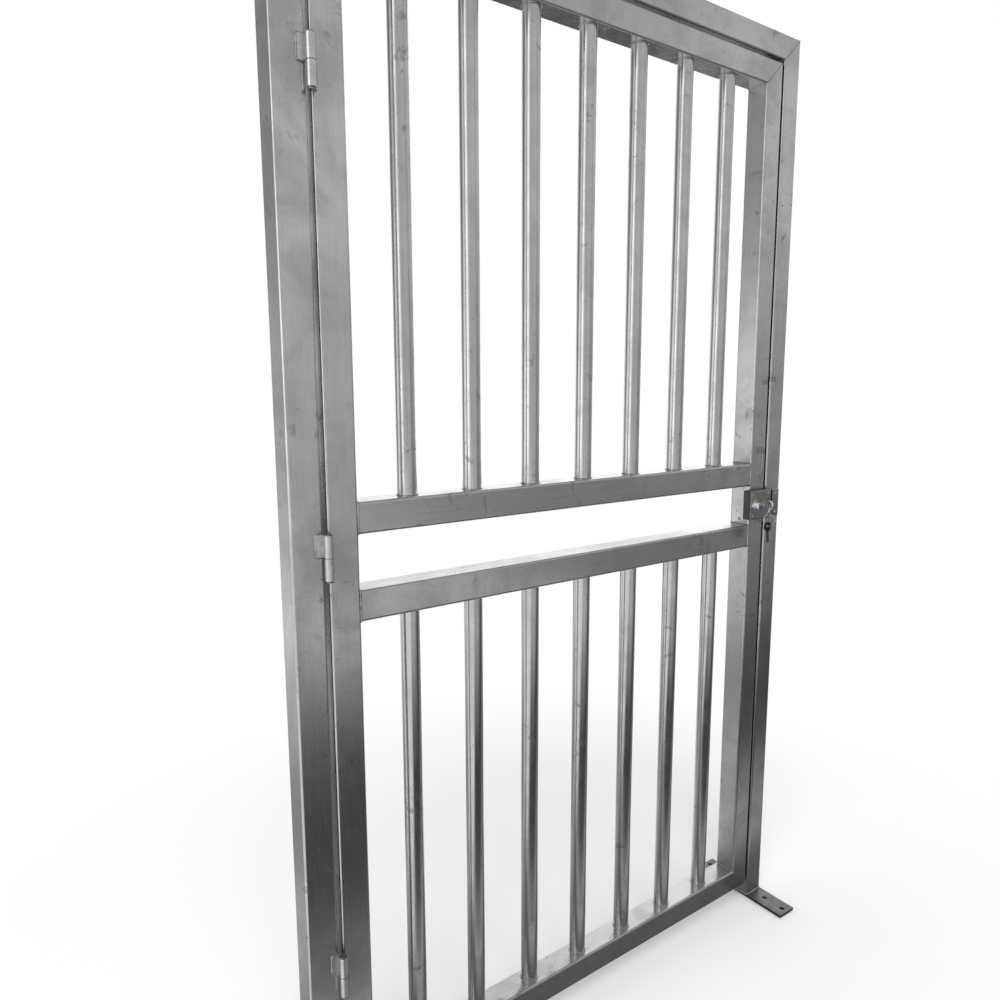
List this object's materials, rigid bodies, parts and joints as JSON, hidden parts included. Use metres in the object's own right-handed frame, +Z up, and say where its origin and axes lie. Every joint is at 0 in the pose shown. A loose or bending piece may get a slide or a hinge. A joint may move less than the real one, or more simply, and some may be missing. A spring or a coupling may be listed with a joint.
{
  "type": "turnstile side gate",
  "caption": "Barred stainless pass gate in a square-tube portal: one leaf on barrel hinges with a surface lock, posts on bolted foot plates.",
  "frame": {"origin": "centre of the underside of the left foot plate, under the left post", "axes": "+X along the gate from the hinge post to the lock post, +Y from the hinge and lock face to the back, +Z up"},
  "size_m": [1.16, 0.24, 1.965],
  "materials": {
    "portal_tube": "satin brushed stainless tube, brushed along its length, with faint handling smudges",
    "leaf_tube": "satin brushed stainless tube, brushed along its length",
    "bar": "polished round stainless tube",
    "foot_plate": "plain stainless flat bar",
    "hinge": "bright machined stainless",
    "lock_body": "satin grey metal",
    "latch_bolt": "machined steel",
    "lock_knob": "bright plated",
    "lock_cylinder": "pale satin brass"
  },
  "bodies": {
    "portal": {"left_post": "portal_tube", "right_post": "portal_tube", "top_beam": "portal_tube", "left_foot_plate": "foot_plate", "right_foot_plate": "foot_plate", "lower_hinge_post_half": "hinge", "middle_hinge_post_half": "hinge", "upper_hinge_post_half": "hinge", "lower_hinge_pin": "hinge", "middle_hinge_pin": "hinge", "upper_hinge_pin": "hinge", "lock_keeper": "lock_body"},
    "leaf": {"hinge_stile": "leaf_tube", "lock_stile": "leaf_tube", "leaf_top_rail": "leaf_tube", "leaf_bottom_rail": "leaf_tube", "lower_mid_rail": "leaf_tube", "upper_mid_rail": "leaf_tube", "lower_hinge_leaf_half": "hinge", "middle_hinge_leaf_half": "hinge", "upper_hinge_leaf_half": "hinge", "lock_case": "lock_body", "lock_back_plate": "lock_body", "lock_cylinder": "lock_cylinder", "lower_bar_1": "bar", "lower_bar_2": "bar", "lower_bar_3": "bar", "lower_bar_4": "bar", "lower_bar_5": "bar", "lower_bar_6": "bar", "lower_bar_7": "bar", "upper_bar_1": "bar", "upper_bar_2": "bar", "upper_bar_3": "bar", "upper_bar_4": "bar", "upper_bar_5": "bar", "upper_bar_6": "bar", "upper_bar_7": "bar"},
    "bolt": {"latch_bolt": "latch_bolt"},
    "knob": {"lock_knob": "lock_knob"}
  },
  "joints": [
    {"name": "leaf_swing", "type": "hinge", "parent": "portal", "child": "leaf", "pos_m": [0.0285, -0.035, 0.993], "axis": [0, 0, -1], "range_deg": [0, 175]},
    {"name": "knob_turn", "type": "hinge", "parent": "leaf", "child": "knob", "pos_m": [1.02, -0.043, 0.98], "axis": [0, -1, 0], "range_deg": [0, 90]},
    {"name": "bolt_slide", "type": "slide", "parent": "leaf", "child": "bolt", "axis": [1, 0, 0], "range_m": [0, 0.016]}
  ],
  "couplings": [
    {"joint": "bolt_slide", "follows": "knob_turn", "m_per_rad": 0.010186}
  ]
}
